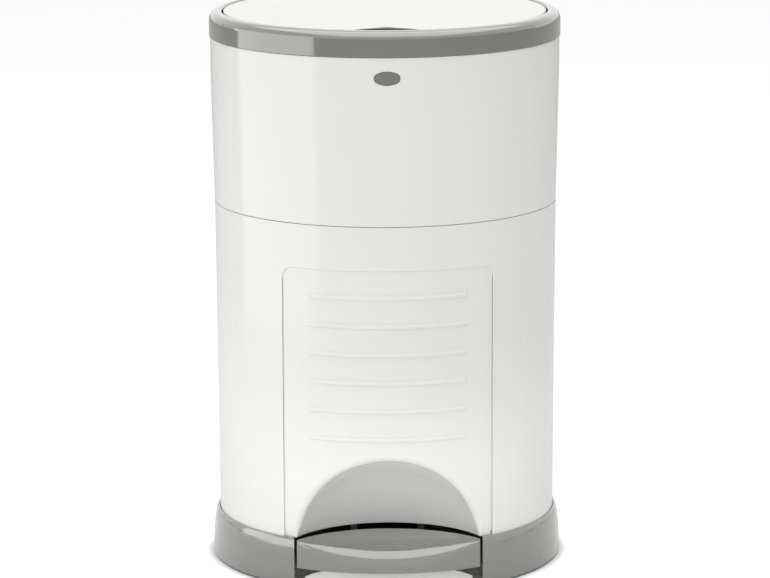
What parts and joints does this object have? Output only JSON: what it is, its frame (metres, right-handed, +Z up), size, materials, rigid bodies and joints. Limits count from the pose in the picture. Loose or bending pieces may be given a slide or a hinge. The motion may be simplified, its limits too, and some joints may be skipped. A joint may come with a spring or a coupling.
{
  "type": "pedal nappy bin",
  "caption": "Round pedal bin for nappies: foot-lifted lid, sprung odour trap and liner cartridge in an upper unit that tips back on a lower bin.",
  "frame": {"origin": "on the floor under the rubber feet, on the vertical axis of the round body; the rear hinge moves the middle of the whole box about 2 mm behind it", "axes": "+Z up, +X to the right when facing the bin, -Y towards the user (pedal and button side), +Y towards the rear hinge"},
  "size_m": [0.2812, 0.2861, 0.446],
  "materials": {
    "base_ring": "satin grey moulding",
    "base_plate": "light grey moulding",
    "rubber_feet": "black rubber",
    "base_screws": "zinc plated",
    "lower_housing": "gloss white moulding",
    "seam_seal": "grey elastomer",
    "strike_plate": "formed sheet steel",
    "pedal_pin": "ground steel pin",
    "body_hinge_pin": "ground steel pin",
    "pedal_spring": "spring steel wire",
    "pedal": "satin grey moulding",
    "pedal_lever": "dark glass filled nylon",
    "lever_screws": "zinc plated",
    "lower_push_rod": "grey acetal",
    "upper_housing": "gloss white moulding",
    "top_ring": "gloss grey moulding",
    "funnel": "pale grey moulding",
    "cartridge_tray": "white moulding",
    "tray_screws": "zinc plated",
    "cartridge_case": "pale blue moulding",
    "film_pack": "pleated film",
    "cutter_body": "orange moulding",
    "cutter_blade": "polished steel",
    "latch_pin": "ground steel pin",
    "latch_lever": "grey acetal",
    "latch_spring": "spring steel wire",
    "release_button": "satin grey moulding",
    "upper_push_rod": "grey acetal",
    "lid_hinge_pin": "ground steel pin",
    "lid_panel": "gloss white moulding",
    "lid_inner": "white moulding",
    "lid_seal": "soft elastomer",
    "flap_left": "grey moulding",
    "flap_right": "grey moulding",
    "flap_pins": "ground steel pins",
    "flap_springs": "spring steel wire"
  },
  "bodies": {
    "lower_bin": {"lower_housing": "lower_housing", "base_ring": "base_ring", "base_plate": "base_plate", "rubber_feet": "rubber_feet", "base_screws": "base_screws", "seam_seal": "seam_seal", "strike_plate": "strike_plate", "pedal_pin": "pedal_pin", "body_hinge_pin": "body_hinge_pin", "pedal_spring": "pedal_spring"},
    "pedal_and_lever": {"pedal": "pedal", "pedal_lever": "pedal_lever", "lever_screws": "lever_screws"},
    "lower_rod": {"lower_push_rod": "lower_push_rod"},
    "upper_unit": {"upper_housing": "upper_housing", "top_ring": "top_ring", "funnel": "funnel", "cartridge_tray": "cartridge_tray", "tray_screws": "tray_screws", "cartridge_case": "cartridge_case", "film_pack": "film_pack", "cutter_body": "cutter_body", "cutter_blade": "cutter_blade", "latch_pin": "latch_pin", "latch_spring": "latch_spring", "lid_hinge_pin": "lid_hinge_pin", "flap_pins": "flap_pins", "flap_springs": "flap_springs"},
    "upper_rod": {"upper_push_rod": "upper_push_rod"},
    "button": {"release_button": "release_button"},
    "latch": {"latch_lever": "latch_lever"},
    "lid": {"lid_panel": "lid_panel", "lid_inner": "lid_inner", "lid_seal": "lid_seal"},
    "trap_left": {"flap_left": "flap_left"},
    "trap_right": {"flap_right": "flap_right"}
  },
  "joints": [
    {"name": "lid_open", "type": "hinge", "parent": "upper_unit", "child": "lid", "pos_m": [0, 0.1234, 0.4384], "axis": [-1, 0, 0], "range_deg": [0, 80]},
    {"name": "pedal_press", "type": "hinge", "parent": "lower_bin", "child": "pedal_and_lever", "pos_m": [0, -0.027, 0.02], "axis": [1, 0, 0], "range_deg": [0, 5.7], "deforming": ["pedal_spring"]},
    {"name": "lower_rod_lift", "type": "slide", "parent": "lower_bin", "child": "lower_rod", "axis": [0, 0, 1], "range_m": [0, 0.01397]},
    {"name": "upper_rod_lift", "type": "slide", "parent": "upper_unit", "child": "upper_rod", "axis": [0, 0, 1], "range_m": [0, 0.01397]},
    {"name": "body_open", "type": "hinge", "parent": "lower_bin", "child": "upper_unit", "pos_m": [0, 0.1414, 0.2906], "axis": [-1, 0, 0], "range_deg": [0, 95]},
    {"name": "button_push", "type": "slide", "parent": "upper_unit", "child": "button", "axis": [0, 1, 0], "range_m": [0, 0.003], "stiffness_N_per_m": 400, "springref_m": -0.001},
    {"name": "latch_turn", "type": "hinge", "parent": "upper_unit", "child": "latch", "pos_m": [0, -0.1234, 0.35], "axis": [-1, 0, 0], "range_deg": [0, 3.06], "deforming": ["latch_spring"]},
    {"name": "flap_left_drop", "type": "hinge", "parent": "upper_unit", "child": "trap_left", "pos_m": [-0.058, 0, 0.383], "axis": [0, 1, 0], "range_deg": [0, 80], "stiffness_Nm_per_rad": 0.03, "springref_deg": -20.05},
    {"name": "flap_right_drop", "type": "hinge", "parent": "upper_unit", "child": "trap_right", "pos_m": [0.058, 0, 0.383], "axis": [0, -1, 0], "range_deg": [0, 80], "stiffness_Nm_per_rad": 0.03, "springref_deg": -20.05}
  ],
  "couplings": [
    {"joint": "pedal_press", "follows": "lid_open", "ratio": 0.071225},
    {"joint": "lower_rod_lift", "follows": "lid_open", "m_per_rad": 0.01},
    {"joint": "upper_rod_lift", "follows": "lid_open", "m_per_rad": 0.01},
    {"joint": "latch_turn", "follows": "button_push", "rad_per_m": 17.762}
  ]
}
